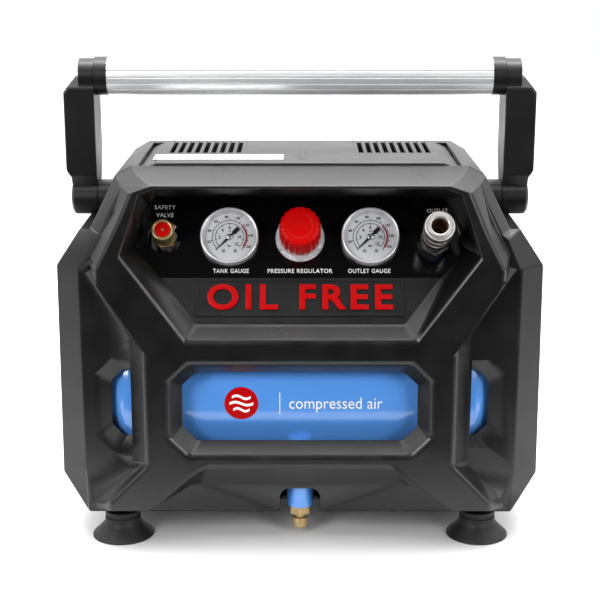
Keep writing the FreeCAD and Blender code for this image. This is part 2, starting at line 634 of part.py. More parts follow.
def handle_arm(side):
    """Moulded arm: round hub on the pivot, upright, and a socket for the tube."""
    outline = [(86, 288), (90, 280), (95, 266), (108, 266), (120, 292), (124, 306), (124, 354),
               (116, 367), (94, 367), (86, 357.5)]
    pts = [V(ARM_IN, y, z) for y, z in outline]
    arm = Part.Face(Part.makePolygon(pts + pts[:1])).extrude(V(ARM_OUT - ARM_IN, 0, 0))
    corner = [V(ARM_OUT + 1, 60, 353), V(ARM_OUT + 1, 60, 380), V(175, 60, 371.5)]
    corner = Part.Face(Part.makePolygon(corner + corner[:1])).extrude(V(0, 90, 0))
    lower = [V(ARM_OUT + 1, 60, 293.5), V(HUB_OUT - 0.6, 60, 286), V(HUB_OUT - 0.6, 60, 255),
             V(ARM_OUT + 1, 60, 255)]
    lower = Part.Face(Part.makePolygon(lower + lower[:1])).extrude(V(0, 90, 0))
    hub = cyl(HUB_R, (ARM_IN, MID, PIVOT_Z), (1, 0, 0), HUB_OUT - ARM_IN)
    hub = hub.makeChamfer(2.0, [e for e in hub.Edges if e.CenterOfMass.x > HUB_OUT - 1 and e.Closed])
    cap = cyl(14, (ARM_IN, MID, TUBE_Z), (1, 0, 0), 176 - ARM_IN)
    arm = fuse(arm.cut([corner, lower]), hub, cap)
    arm = arm.cut([cyl(6 + FIT, (ARM_IN - 1, MID, PIVOT_Z), (1, 0, 0), 21.8),
                   cyl(12.95, (ARM_IN - 1, MID, TUBE_Z), (1, 0, 0), 9.6)])
    return arm if side > 0 else mirror_x(arm)


def handle_pivots():
    """Bosses clamped in the seam of the shells, with the pins the arms turn on."""
    right = fuse(cyl(19, (135, MID, PIVOT_Z), (1, 0, 0), 5), cyl(14.4, (138, MID, PIVOT_Z), (1, 0, 0), 25.2),
                 cyl(6, (162, MID, PIVOT_Z), (1, 0, 0), 22))
    return Part.makeCompound([right, mirror_x(right)])


# ---- rear fittings ----
def power_switch():
    """Rocker in its frame opening; it tilts on a cross pin."""
    rocker = [V(0, DEPTH - 9, -9), V(0, DEPTH + 0.5, -12.4), V(0, DEPTH + 3.6, -11.6), V(0, DEPTH + 1.4, 0),
              V(0, DEPTH + 1.8, 11.6), V(0, DEPTH - 0.6, 12.4), V(0, DEPTH - 9, 9)]
    solid = Part.Face(Part.makePolygon(rocker + rocker[:1])).extrude(V(16, 0, 0))
    solid.translate(V(SWITCH_X - 8, 0, REAR_FIT_Z))
    return fuse(solid, cyl(2, (SWITCH_X - 10, DEPTH - 4, REAR_FIT_Z), (1, 0, 0), 20))


def cord_gland():
    """Inlet gland for the supply lead."""
    ring = revolve([(4, 0.05), (12, 0.05), (12, 3), (9, 7), (7, 8), (4, 8)],
                   (GLAND_X, DEPTH, REAR_FIT_Z), (0, 1, 0))
    thread = revolve([(4, -10), (8, -10), (8, 0.2), (4, 0.2)], (GLAND_X, DEPTH, REAR_FIT_Z), (0, 1, 0))
    return fuse(ring, thread)


PARTS = {
    "front_shell": front_shell(), "rear_shell": rear_shell(), "top_cover": top_cover(),
    "control_panel": control_panel(), "name_plate": name_plate(), "shell_screws": shell_screws(),
    "air_tank": air_tank(), "tank_bracket_left": tank_bracket(-1), "tank_bracket_right": tank_bracket(1),
    "foot_bolts": foot_bolts(), "drain_valve_body": drain_valve_body(),
    "drain_valve_knob": drain_valve_knob(),
    "pump_plate": pump_plate(), "vibration_mounts": vibration_mounts(), "motor_housing": motor_housing(),
    "motor_end_cap": motor_end_cap(), "rotor_shaft": rotor_shaft(), "cooling_fan": cooling_fan(),
    "crankcase": crankcase(), "eccentric": eccentric(), "connecting_rod": connecting_rod(),
    "piston": piston(), "cylinder": cylinder(), "cylinder_head": cylinder_head(),
    "head_bolts": head_bolts(), "intake_filter": intake_filter(), "discharge_pipe": discharge_pipe(),
    "check_valve": check_valve(), "pressure_switch": pressure_switch(), "capacitor": capacitor(),
    "manifold": manifold(), "panel_hose": panel_hose(), "regulator_body": regulator_body(),
    "regulator_nut": regulator_nut(), "adjusting_screw": adjusting_screw(),
    "regulator_knob": regulator_knob(), "safety_valve_body": safety_valve_body(),
    "safety_valve_cap": safety_valve_cap(), "coupler_body": coupler_body(),
    "coupler_sleeve": coupler_sleeve(), "coupler_poppet": coupler_poppet(),
    "handle_tube": handle_tube(), "handle_collars": handle_collars(),
    "handle_arm_left": handle_arm(-1), "handle_arm_right": handle_arm(1),
    "handle_pivots": handle_pivots(), "power_switch": power_switch(), "cord_gland": cord_gland(),
}
for name, (foot_x, foot_y) in FEET.items():
    PARTS[name] = foot(foot_x, foot_y)
for name, gauge_u in (("tank_gauge", -GAUGE_U), ("outlet_gauge", GAUGE_U)):
    PARTS[name + "_case"] = gauge_case(gauge_u)
    PARTS[name + "_dial"] = gauge_dial(gauge_u)
    PARTS[name + "_needle"] = gauge_needle(gauge_u)
    PARTS[name + "_lens"] = gauge_lens(gauge_u)


def export():
    """Write one STEP per piece, with the origin on the floor under the middle of the object."""
    os.makedirs("parts", exist_ok=True)
    whole = Part.makeCompound(list(PARTS.values())).optimalBoundingBox(False, False)
    shift = V(0, -(whole.YMin + whole.YMax) / 2, 0)
    for name, shape in PARTS.items():
        shape.translate(shift)
        shape.exportStep("parts/" + name + ".step")


export()
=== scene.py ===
"""Portable air compressor: materials, rounded mouldings, print and studio around the CAD frame."""
import json
import math

import bmesh
import bpy
import numpy as np
from mathutils import Matrix, Vector
from mathutils.bvhtree import BVHTree
from mathutils.geometry import delaunay_2d_cdt


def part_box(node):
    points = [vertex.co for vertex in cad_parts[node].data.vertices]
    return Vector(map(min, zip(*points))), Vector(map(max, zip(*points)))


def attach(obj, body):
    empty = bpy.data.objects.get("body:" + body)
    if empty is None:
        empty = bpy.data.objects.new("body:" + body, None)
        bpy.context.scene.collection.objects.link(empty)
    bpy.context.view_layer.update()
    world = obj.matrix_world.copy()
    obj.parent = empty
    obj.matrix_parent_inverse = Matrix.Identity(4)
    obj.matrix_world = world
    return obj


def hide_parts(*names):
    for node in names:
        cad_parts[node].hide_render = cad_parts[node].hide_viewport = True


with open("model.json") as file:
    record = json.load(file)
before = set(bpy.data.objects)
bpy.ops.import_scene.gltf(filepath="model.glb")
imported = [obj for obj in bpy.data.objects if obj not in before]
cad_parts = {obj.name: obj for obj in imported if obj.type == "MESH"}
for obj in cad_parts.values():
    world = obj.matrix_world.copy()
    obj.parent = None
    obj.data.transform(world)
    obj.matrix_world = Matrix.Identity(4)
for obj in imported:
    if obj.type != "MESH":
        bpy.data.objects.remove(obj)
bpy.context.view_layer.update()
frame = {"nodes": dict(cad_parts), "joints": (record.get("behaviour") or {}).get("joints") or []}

# ---- places and sizes read from the frame (metres) ----
MM = 0.001
NODES = frame["nodes"]
JOINT = {j["name"]: j for j in frame["joints"]}
TILT = math.acos(JOINT["regulator_turn"]["axis"][2])     # the panel's normal, measured from straight up


def panel_at(joint, back):
    """Frame on the panel's face under a fitting: local Z stands out of the panel, Y runs up it."""
    axis, pos = Vector(JOINT[joint]["axis"]), Vector(JOINT[joint]["pos_m"])
    return Matrix.Translation(pos - axis * back * MM) @ Matrix.Rotation(TILT, 4, "X")


def on_panel(u, v, out=0.0):
    """Frame at a point of the panel, in mm to the right, up the slope and out of it."""
    return PANEL @ Matrix.Translation((u * MM, v * MM, out * MM))


GAUGE_U, ROW_V = 55, 18                 # mm from the panel's centre: a gauge's offset, the row's height
SAFETY_UV, COUPLER_UV = (-106, 19), (104.7, 13)
KNOB = panel_at("regulator_turn", 10)
TANK_GAUGE = panel_at("tank_gauge_needle_turn", 5)
OUTLET_GAUGE = panel_at("outlet_gauge_needle_turn", 5)
PANEL = KNOB @ Matrix.Translation((0, -ROW_V * MM, 0))
SAFETY = on_panel(*SAFETY_UV)
COUPLER = on_panel(*COUPLER_UV)


def node_centre(node):
    low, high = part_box(node)
    return (low + high) / 2


# ---- camera: level with the front's middle, looking down at it ----
FRONT_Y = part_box("front_shell")[0].y
AIM_HEIGHT, DISTANCE, PITCH = 0.2065, 1.064, math.radians(14.5)
LENS_MM, SENSOR_MM = 84.0, 36.0
AIM = Vector((0, FRONT_Y, AIM_HEIGHT))
camera = bpy.data.objects.new("camera", bpy.data.cameras.new("camera"))
camera.data.lens, camera.data.sensor_width = LENS_MM, SENSOR_MM
camera.location = AIM + DISTANCE * Vector((0, -math.cos(PITCH), math.sin(PITCH)))
camera.rotation_euler = (math.pi / 2 - PITCH, 0, 0)
bpy.context.scene.collection.objects.link(camera)
bpy.context.scene.camera = camera


# ---- materials ----
def material(name, base, rough, metallic=0.0, grain=0.0, grain_scale=900.0, cloud=0.0, cloud_scale=14.0,
             rough_var=0.0, coat=0.0, coat_rough=0.05, specular=0.5, stretch=None, lighter_edges=None, bump=0.25):
    """Principled material with procedural grain, cloudy colour and roughness, and an optional lighter
    colour on convex edges.
    """
    mat = bpy.data.materials.new(name)
    mat.use_nodes = True
    tree = mat.node_tree
    nodes, links = tree.nodes, tree.links
    bsdf = nodes["Principled BSDF"]
    bsdf.inputs["Base Color"].default_value = (*base, 1)
    bsdf.inputs["Roughness"].default_value = rough
    bsdf.inputs["Metallic"].default_value = metallic
    bsdf.inputs["Specular IOR Level"].default_value = specular
    bsdf.inputs["Coat Weight"].default_value = coat
    bsdf.inputs["Coat Roughness"].default_value = coat_rough
    where = nodes.new("ShaderNodeTexCoord").outputs["Object"]
    if stretch:
        mapping = nodes.new("ShaderNodeMapping")
        mapping.inputs["Scale"].default_value = stretch
        links.new(where, mapping.inputs["Vector"])
        where = mapping.outputs["Vector"]

    def noise(scale, detail):
        node = nodes.new("ShaderNodeTexNoise")
        node.inputs["Scale"].default_value = scale
        node.inputs["Detail"].default_value = detail
        links.new(where, node.inputs["Vector"])
        return node.outputs["Fac"]

    def spread(fac, low, high, from_low=0.3, from_high=0.7):
        node = nodes.new("ShaderNodeMapRange")
        ends = {"From Min": from_low, "From Max": from_high, "To Min": low, "To Max": high}
        for key, value in ends.items():
            node.inputs[key].default_value = value
        links.new(fac, node.inputs["Value"])
        return node.outputs["Result"]

    colour = None
    if cloud:
        mix = nodes.new("ShaderNodeMix")
        mix.data_type = "RGBA"
        mix.inputs[6].default_value = (*[c * (1 - cloud) for c in base], 1)
        mix.inputs[7].default_value = (*[min(1, c * (1 + cloud)) for c in base], 1)
        links.new(spread(noise(cloud_scale, 4), 0, 1), mix.inputs[0])
        colour = mix.outputs[2]
    # lighter colour on convex edges, picked out by pointiness
    if lighter_edges:
        edge = nodes.new("ShaderNodeNewGeometry").outputs["Pointiness"]
        mix = nodes.new("ShaderNodeMix")
        mix.data_type = "RGBA"
        if colour:
            links.new(colour, mix.inputs[6])
        else:
            mix.inputs[6].default_value = (*base, 1)
        mix.inputs[7].default_value = (*lighter_edges, 1)
        links.new(spread(edge, 0, 0.6, 0.52, 0.62), mix.inputs[0])
        colour = mix.outputs[2]
    if colour:
        links.new(colour, bsdf.inputs["Base Color"])
    if rough_var:
        varied = spread(noise(cloud_scale * 3, 5), rough - rough_var, rough + rough_var)
        links.new(varied, bsdf.inputs["Roughness"])
    if grain:
        node = nodes.new("ShaderNodeBump")
        node.inputs["Strength"].default_value = bump
        node.inputs["Distance"].default_value = grain * MM
        links.new(noise(grain_scale, 2), node.inputs["Height"])
        links.new(node.outputs["Normal"], bsdf.inputs["Normal"])
    return mat


M = {
    "charcoal": material("charcoal_plastic", (0.0045, 0.0045, 0.0047), 0.33, grain=0.25, grain_scale=1500,
                         cloud=0.15, rough_var=0.06, specular=0.5, lighter_edges=(0.022, 0.022, 0.023)),
    "cover": material("cover_plastic", (0.02, 0.02, 0.021), 0.36, grain=0.2, grain_scale=1700, cloud=0.12,
                      rough_var=0.04),
    "gloss_black": material("gloss_black", (0.002, 0.002, 0.0022), 0.1, grain=0.05, grain_scale=300,
                            rough_var=0.04, cloud=0.1, specular=0.35),
    "satin_black": material("satin_black", (0.007, 0.007, 0.0074), 0.36, grain=0.2, grain_scale=1400,
                            cloud=0.15, rough_var=0.05, specular=0.3),
    "rubber": material("black_rubber", (0.009, 0.0085, 0.0085), 0.55, specular=0.3, grain=0.4,
                       grain_scale=900, cloud=0.25, cloud_scale=60, rough_var=0.08),
    "blue": material("blue_paint", (0.085, 0.27, 0.70), 0.2, grain=0.12, grain_scale=260, cloud=0.04,
                     coat=0.6, coat_rough=0.08, bump=0.12),
    "tube": material("silver_aluminium", (0.78, 0.785, 0.80), 0.38, 0.62, grain=0.12, grain_scale=500,
                     stretch=(0.04, 1, 1), cloud=0.04, cloud_scale=200, rough_var=0.05),
    "cast": material("cast_aluminium", (0.55, 0.56, 0.57), 0.5, 1.0, grain=0.6, grain_scale=700,
                     cloud=0.12),
    "chrome": material("chrome", (0.9, 0.9, 0.91), 0.07, 1.0, grain=0.02, grain_scale=120, rough_var=0.02),
    "nickel": material("nickel_steel", (0.52, 0.505, 0.48), 0.34, 1.0, grain=0.15, grain_scale=1200,
                       cloud=0.1, cloud_scale=120, rough_var=0.06),
    "steel": material("zinc_steel", (0.5, 0.51, 0.53), 0.34, 1.0, grain=0.2, grain_scale=900, cloud=0.1,
                      cloud_scale=90, rough_var=0.07),
    "enamel": material("motor_enamel", (0.03, 0.03, 0.035), 0.4, grain=0.3, grain_scale=900, cloud=0.1),
    "brass": material("brass", (0.45, 0.33, 0.16), 0.32, 0.75, grain=0.15, grain_scale=1100, cloud=0.12,
                      cloud_scale=150, rough_var=0.06),
    "bezel_wall": material("bezel_wall", (0.82, 0.82, 0.84), 0.3, 0.65, grain=0.05, grain_scale=600,
                           cloud=0.04),
    # painted shade: a darker copy of the nickel for the coupler's part nearer the panel, which lies in
    # shadow
    "nickel_painted_shade": material("nickel_painted_shade", (0.16, 0.155, 0.15), 0.34, 1.0, grain=0.15, grain_scale=900,
                            cloud=0.15, cloud_scale=120, rough_var=0.06),
    "old_brass": material("dull_brass", (0.34, 0.22, 0.10), 0.42, 1.0, grain=0.2, grain_scale=900,
                          cloud=0.25, cloud_scale=160, rough_var=0.08),
    "copper": material("copper", (0.85, 0.42, 0.25), 0.3, 1.0, grain=0.1, cloud=0.15, cloud_scale=80),
    "red": material("red_plastic", (0.46, 0.001, 0.001), 0.3, specular=0.08, grain=0.1, grain_scale=900,
                    cloud=0.05, rough_var=0.04),
    "red_paint": material("red_letters", (0.42, 0.001, 0.002), 0.4, specular=0.08, grain=0.1,
                          grain_scale=900, cloud=0.08),
    "dial": material("dial_white", (0.66, 0.67, 0.70), 0.45, grain=0.03, grain_scale=900, cloud=0.02),
    "ink": material("ink_black", (0.008, 0.008, 0.009), 0.5, specular=0.2, grain=0.02, cloud=0.1),
    "red_ink": material("ink_red", (0.26, 0.01, 0.015), 0.5, specular=0.2, grain=0.02, cloud=0.1),
    "grey_ink": material("ink_grey", (0.25, 0.25, 0.26), 0.5, grain=0.02, cloud=0.1),
    "white_ink": material("ink_white", (0.85, 0.85, 0.85), 0.5, grain=0.02, cloud=0.03),
    "sticker": material("sticker_white", (0.72, 0.72, 0.71), 0.4, grain=0.03, cloud=0.03),
    "foam": material("filter_foam", (0.03, 0.03, 0.03), 0.9, grain=1.0, grain_scale=500, cloud=0.3),
}
LENS_ALPHA = 0.07
M["glass"] = material("clear_lens", (0.02, 0.02, 0.02), 0.02, specular=0.5, grain=0.01, grain_scale=60)
M["glass"].node_tree.nodes["Principled BSDF"].inputs["Alpha"].default_value = LENS_ALPHA

NODE_MATERIAL = {
    "charcoal": "front_shell rear_shell cooling_fan",
    "cover": "top_cover",
    "gloss_black": "power_switch",
    "satin_black": "handle_arm_left handle_arm_right handle_collars handle_pivots control_panel name_plate "
                   "pressure_switch capacitor cord_gland",
    "rubber": "foot_front_left foot_front_right foot_rear_left foot_rear_right vibration_mounts panel_hose",
    "blue": "air_tank",
    "tube": "handle_tube",
    "cast": "crankcase cylinder cylinder_head manifold piston connecting_rod motor_end_cap",
    "chrome": "tank_gauge_case outlet_gauge_case regulator_nut",
    "nickel": "coupler_sleeve coupler_body",
    "steel": "tank_bracket_left tank_bracket_right foot_bolts shell_screws pump_plate rotor_shaft "
             "eccentric head_bolts adjusting_screw",
    "enamel": "motor_housing",
    "brass": "drain_valve_body drain_valve_knob check_valve regulator_body safety_valve_body "
             "coupler_poppet",
    "copper": "discharge_pipe",
    "red": "regulator_knob safety_valve_cap",
    "dial": "tank_gauge_dial outlet_gauge_dial",
    "ink": "tank_gauge_needle outlet_gauge_needle",
    "glass": "tank_gauge_lens outlet_gauge_lens",
    "foam": "intake_filter",
}
for key, names in NODE_MATERIAL.items():
    for name in names.split():
        NODES[name].data.materials.clear()
        NODES[name].data.materials.append(M[key])


def piece(name, bm, mats, body, matrix=None, replaces=(), angle=35.0, weighted=False):
    """Finish a bmesh as a piece of the object that rides on a CAD body. Its mesh is in mm until here."""
    mesh = bpy.data.meshes.new(name)
    bmesh.ops.recalc_face_normals(bm, faces=bm.faces)
    bm.to_mesh(mesh)
    bm.free()
    mesh.transform(Matrix.Scale(MM, 4))
    if matrix is not None:
        mesh.transform(matrix)
    mesh.shade_smooth()
    mesh.set_sharp_from_angle(angle=math.radians(angle))
    obj = bpy.data.objects.new(name, mesh)
    bpy.context.scene.collection.objects.link(obj)
    for mat in [mats] if isinstance(mats, str) else mats:
        mesh.materials.append(M[mat])
    if weighted:
        normal = obj.modifiers.new("weighted_normals", "WEIGHTED_NORMAL")
        normal.keep_sharp = True
        normal.use_face_influence = True
    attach(obj, body)
    if replaces:
        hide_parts(*([replaces] if isinstance(replaces, str) else replaces))
    return obj


def loft(bm, rings, cap=True, slot=0):
    """Skin rings of equal length; the first and last are capped."""
    rows = [[bm.verts.new(p) for p in ring] for ring in rings]
    count = len(rows[0])
    for a, b in zip(rows, rows[1:]):
        for i in range(count):
            j = (i + 1) % count
            bm.faces.new((a[i], a[j], b[j], b[i])).material_index = slot
    if cap:
        bm.faces.new(list(reversed(rows[0]))).material_index = slot
        bm.faces.new(rows[-1]).material_index = slot
    return rows


def lathe(bm, profile, segments=72, matrix=None, wave=None, slot=0):
    """Turned shape round local Z from (radius, height) points; wave(angle, index) scales a radius."""
    matrix = matrix or Matrix.Identity(4)
    rings = []
    for index, (r, h) in enumerate(profile):
        ring = []
        for i in range(segments):
            a = 2 * math.pi * i / segments
            k = r * (wave(a, index) if wave else 1)
            ring.append(matrix @ Vector((k * math.cos(a), k * math.sin(a), h)))
        rings.append(ring)
    closed = profile[0] == profile[-1]
    if closed:
        rows = loft(bm, rings[:-1], cap=False, slot=slot)
        for i in range(segments):
            j = (i + 1) % segments
            bm.faces.new((rows[-1][i], rows[-1][j], rows[0][j], rows[0][i])).material_index = slot
    else:
        loft(bm, rings, slot=slot)


def rounded(points, steps=4):
    """(r, h, fillet) points: corners with a fillet are replaced by a short arc."""
    out = []
    for i, point in enumerate(points):
        r, h, f = (*point, 0)[:3]
        if not f or i in (0, len(points) - 1):
            out.append((r, h))
            continue
        here = Vector((r, h))
        before, after = (Vector(points[i - 1][:2]) - here), (Vector(points[i + 1][:2]) - here)
        a = here + before.normalized() * min(f, before.length * 0.49)
        b = here + after.normalized() * min(f, after.length * 0.49)
        for s in range(steps + 1):
            t = s / steps
            q = a * (1 - t) ** 2 + here * 2 * t * (1 - t) + b * t ** 2
            out.append((q.x, q.y))
    return out


def prism(bm, outline, low, high, matrix=None, slot=0):
    """Extrude a 2-D outline along local Z."""
    matrix = matrix or Matrix.Identity(4)
    loft(bm, [[matrix @ Vector((x, y, z)) for x, y in outline] for z in (low, high)], slot=slot)


def bevel(bm, width, segments, wanted):
    """Round the edges that `wanted` picks."""
    bmesh.ops.bevel(bm, geom=[e for e in bm.edges if wanted(e)], offset=width, offset_type="OFFSET",
                    segments=segments, profile=0.5, affect="EDGES", clamp_overlap=True)


def hexagon(across_flats, turn_degrees):
    r = across_flats / 2 / math.cos(math.pi / 6)
    angles = [math.radians(turn_degrees) + 2 * math.pi * i / 6 for i in range(6)]
    return [(r * math.cos(a), r * math.sin(a)) for a in angles]


# ---- moulded parts: the CAD solid with its corners rounded ----
WELD, FLAT = 0.01, 1.0               # corners this near are one, facets this near to flat are merged
SHORTEST, SHARPEST_FLAT = 1.2, 14.0  # edges below this length or this bend stay as they are
ROUND_STEPS = 3                      # facets across a rounding


def cad_mesh(node):
    """bmesh of a CAD node in mm, welded, with flat areas merged."""
    source = bpy.data.objects[node]
    bm = bmesh.new()
    bm.from_mesh(source.data)
    bmesh.ops.transform(bm, matrix=Matrix.Scale(1 / MM, 4) @ source.matrix_world, verts=bm.verts)
    bmesh.ops.remove_doubles(bm, verts=bm.verts, dist=WELD)
    bmesh.ops.dissolve_limit(bm, angle_limit=math.radians(FLAT), verts=bm.verts, edges=bm.edges)
    return bm


def corner_widths(edges, limits, room=0.42):
    """Bevel width for each edge, so that no two bevels run into each other."""
    ends = np.array([[list(v.co) for v in e.verts] for e in edges])
    span = ends[:, 1] - ends[:, 0]
    length = np.linalg.norm(span, axis=1)
    heading = span / length[:, None]
    samples = ends[:, None, 0] + np.linspace(0, 1, 7)[None, :, None] * span[:, None]
    width = np.array(limits, float)
    for i, edge in enumerate(edges):
        away = samples - ends[i, 0]
        along = np.clip(away @ span[i] / length[i] ** 2, 0, 1)
        gap = np.linalg.norm(away - along[..., None] * span[i], axis=2).min(axis=1)
        off_line = np.linalg.norm(away - (away @ heading[i])[..., None] * heading[i], axis=2).max(axis=1)
        touching = np.zeros(len(edges), bool)
        for k, other in enumerate(edges):
            shared = set(other.verts) & set(edge.verts)
            if k == i or len(shared) != 1:
                continue
            touching[k] = True
            corner = shared.pop()
            a = (edge.other_vert(corner).co - corner.co).normalized()
            b = (other.other_vert(corner).co - corner.co).normalized()
            between = a.angle(b)
            if between < math.radians(60):
                width[i] = min(width[i], room * min(length[i], length[k]) * math.tan(between / 2))
            elif between < math.radians(158):
                width[i] = min(width[i], room * length[k])
        in_line = off_line < 0.5
        apart = ~touching & ~in_line
        if apart.any():
            width[i] = min(width[i], room * gap[apart].min())
    group = list(range(len(edges)))

    def root(k):
        while group[k] != k:
            k = group[k]
        return k

    at_vertex = {}
    for i, edge in enumerate(edges):
        for v in edge.verts:
            at_vertex.setdefault(v.index, []).append(i)
    for members in at_vertex.values():
        for i in members:
            for k in members:
                if i < k and abs(heading[i] @ heading[k]) > 0.9:
                    group[root(i)] = root(k)
    least = {}
    for i in range(len(edges)):
        least[root(i)] = min(least.get(root(i), width[i]), width[i])
    return [least[root(i)] for i in range(len(edges))]


def weighted_bevel(bm, widest):
    """The mesh with each edge rounded by its share of the widest bevel."""
    mesh = bpy.data.meshes.new("form")
    bm.to_mesh(mesh)
    bm.free()
    obj = bpy.data.objects.new("form", mesh)
    bpy.context.scene.collection.objects.link(obj)
    round_off = obj.modifiers.new("rounded_corners", "BEVEL")
    round_off.limit_method, round_off.width, round_off.segments = "WEIGHT", widest, ROUND_STEPS
    round_off.use_clamp_overlap = False
    round_off.face_strength_mode = "FSTR_ALL"
    result = bpy.data.meshes.new_from_object(obj.evaluated_get(bpy.context.evaluated_depsgraph_get()))
    bpy.data.objects.remove(obj)
    bpy.data.meshes.remove(mesh)
    bm = bmesh.new()
    bm.from_mesh(result)
    bpy.data.meshes.remove(result)
    return bm


def retile(bm):
    """Cut every large face that would not fill cleanly into sound triangles."""
    misfill_share, misfill_area = 0.004, 0.3       # of the face's area, and mm2
    least_area = 1e-5
    filled = {}
    for loops in bm.calc_loop_triangles():
        a, b, c = [loop.vert.co for loop in loops]
        filled[loops[0].face] = filled.get(loops[0].face, 0) + (b - a).cross(c - a).length / 2
    bad = []
    for face, area in filled.items():
        points = [v.co for v in face.verts]
        turn = sum((a.cross(b) for a, b in zip(points, points[1:] + points[:1])), Vector())
        if len(points) > 4 and abs(area - turn.length / 2) > misfill_share * area + misfill_area:
            bad.append((face, turn.normalized()))
    for face, normal in bad:
        u = normal.orthogonal().normalized()
        v = normal.cross(u)
        verts = list(face.verts)
        origin = verts[0].co.copy()
        flat = [Vector(((w.co - origin).dot(u), (w.co - origin).dot(v))) for w in verts]
        points, _, tris, source, _, _ = delaunay_2d_cdt(flat, [], [list(range(len(flat)))], 1, 1e-4)
        corners = [verts[s[0]] if s else bm.verts.new(origin + u * p.x + v * p.y)
                   for p, s in zip(points, source)]
        for tri in tris:
            trio = [corners[k] for k in tri]
            a, b, c = [w.co for w in trio]
            facing = (b - a).cross(c - a)
            if facing.length > least_area and bm.faces.get(trio) is None:
                bm.faces.new(trio if facing.dot(normal) > 0 else trio[::-1], face)
        bm.faces.remove(face)
    for edge in [e for e in bm.edges if e.is_wire]:
        bm.edges.remove(edge)


def ordered_corners(edges):
    """The edges' corners, each once, in the same order on every run."""
    return list(dict.fromkeys(v for e in edges for v in e.verts))


def close_seams(bm, reach=0.02):
    """Split each open edge where another open corner lies on it, and weld the two sides."""
    rim = [e for e in bm.edges if e.is_boundary]
    corners = ordered_corners(rim)
    for edge in [e for e in rim if e.calc_length() > 2 * reach]:
        start, far = edge.verts
        origin, span = start.co.copy(), far.co - start.co
        stops = []
        for v in corners:
            t = (v.co - origin).dot(span) / span.length_squared
            if v not in (start, far) and 0 < t < 1 and (origin + span * t - v.co).length < reach:
                stops.append(t)
        last = 1.0
        for t in sorted(stops, reverse=True):
            far = bmesh.utils.edge_split(edge, far, (last - t) / last)[1]
            last = t
    rim = [e for e in bm.edges if e.is_boundary]
    bmesh.ops.remove_doubles(bm, verts=ordered_corners(rim), dist=1.5 * reach)


def moulded(name, node, mats, body, widest, wanted=lambda e: True, limit=None):
    """The node's solid with its corners rounded by up to `widest`, in its place."""
    bm = cad_mesh(node)
    layer = bm.edges.layers.float.new("bevel_weight_edge")
    bm.verts.index_update()
    edges = [e for e in bm.edges if len(e.link_faces) == 2 and e.calc_length() > SHORTEST
             and e.calc_face_angle(0) > math.radians(SHARPEST_FLAT) and wanted(e)]
    widths = corner_widths(edges, [limit(e) if limit else widest for e in edges])
    for edge, width in zip(edges, widths):
        edge[layer] = width / widest
    bm = weighted_bevel(bm, widest)
    retile(bm)
    close_seams(bm)
    return piece(name, bm, mats, body, replaces=node, angle=38, weighted=True)


FRONT_MM, MID_DEPTH = FRONT_Y / MM, 100.0   # the front plane, and the seam's depth behind it
SHELL_ROUNDING, PART_LINE = 3.0, 0.5        # along outer corners, and along the seam of the half shells


def shell_edges(tree, side):
    """Two tests: whether an edge is an outer corner of a shell, and how far it may be rounded."""
    clear, look = 0.05, 120         # a ray's start off its face, and how far it looks for the shell

    def outside(face):
        if face.normal.y * side < -0.3:
            return False
        start = face.calc_center_median_weighted() + face.normal * clear
        return tree.ray_cast(start, face.normal, look)[0] is None

    def on_seam(edge):
        return all(abs(v.co.y - FRONT_MM - MID_DEPTH) < 1.5 for v in edge.verts)

    def wanted(edge):
        if on_seam(edge):
            return any(f.normal.y * side < -0.9 for f in edge.link_faces) and any(
                abs(f.normal.y) < 0.3 and outside(f) for f in edge.link_faces)
        return all(outside(f) for f in edge.link_faces)

    return wanted, lambda edge: PART_LINE if on_seam(edge) else SHELL_ROUNDING


def shell_piece(node, side):
    bm = cad_mesh(node)
    tree = BVHTree.FromBMesh(bm)
    bm.free()
    wanted, limit = shell_edges(tree, side)
    moulded(node + "_moulding", node, "charcoal", "housing", SHELL_ROUNDING, wanted, limit)


shell_piece("front_shell", -1)
shell_piece("rear_shell", 1)
moulded("top_cover_moulding", "top_cover", "cover", "housing", 1.2)
for arm in ("handle_arm_left", "handle_arm_right"):
    moulded(arm + "_moulding", arm, "satin_black", "handle", 2.2)
moulded("power_switch_rocker", "power_switch", "gloss_black", "power_switch", 0.8)


# ---- lettering, printed marks and thin plates ----
def outline_curve(points_sets, thickness):
    """Flat plate from closed outlines, the inner ones being holes, as a bmesh in mm."""
    curve = bpy.data.curves.new("plate", "CURVE")
    curve.dimensions, curve.fill_mode, curve.extrude = "2D", "BOTH", thickness / 2
    for points in points_sets:
        spline = curve.splines.new("POLY")
        spline.points.add(len(points) - 1)
        spline.use_cyclic_u = True
        for p, (x, y) in zip(spline.points, points):
            p.co = (x, y, 0, 1)
    return curve_mesh(curve)


def curve_mesh(curve):
    """bmesh of a curve or text datablock, which is then removed."""
    obj = bpy.data.objects.new("outline", curve)
    bpy.context.scene.collection.objects.link(obj)
    mesh = bpy.data.meshes.new_from_object(obj.evaluated_get(bpy.context.evaluated_depsgraph_get()))
    bpy.data.objects.remove(obj)
    bm = bmesh.new()
    bm.from_mesh(mesh)
    bpy.data.meshes.remove(mesh)
    bmesh.ops.remove_doubles(bm, verts=bm.verts, dist=0.0005)
    return bm


def add(bm, other, matrix=None, slot=0):
    """Join another bmesh into bm."""
    if matrix is not None:
        bmesh.ops.transform(other, matrix=matrix, verts=other.verts)
    mesh = bpy.data.meshes.new("part")
    other.to_mesh(mesh)
    other.free()
    before = len(bm.faces)
    bm.from_mesh(mesh)
    bm.faces.ensure_lookup_table()
    for face in bm.faces[before:]:
        face.material_index = slot
    bpy.data.meshes.remove(mesh)


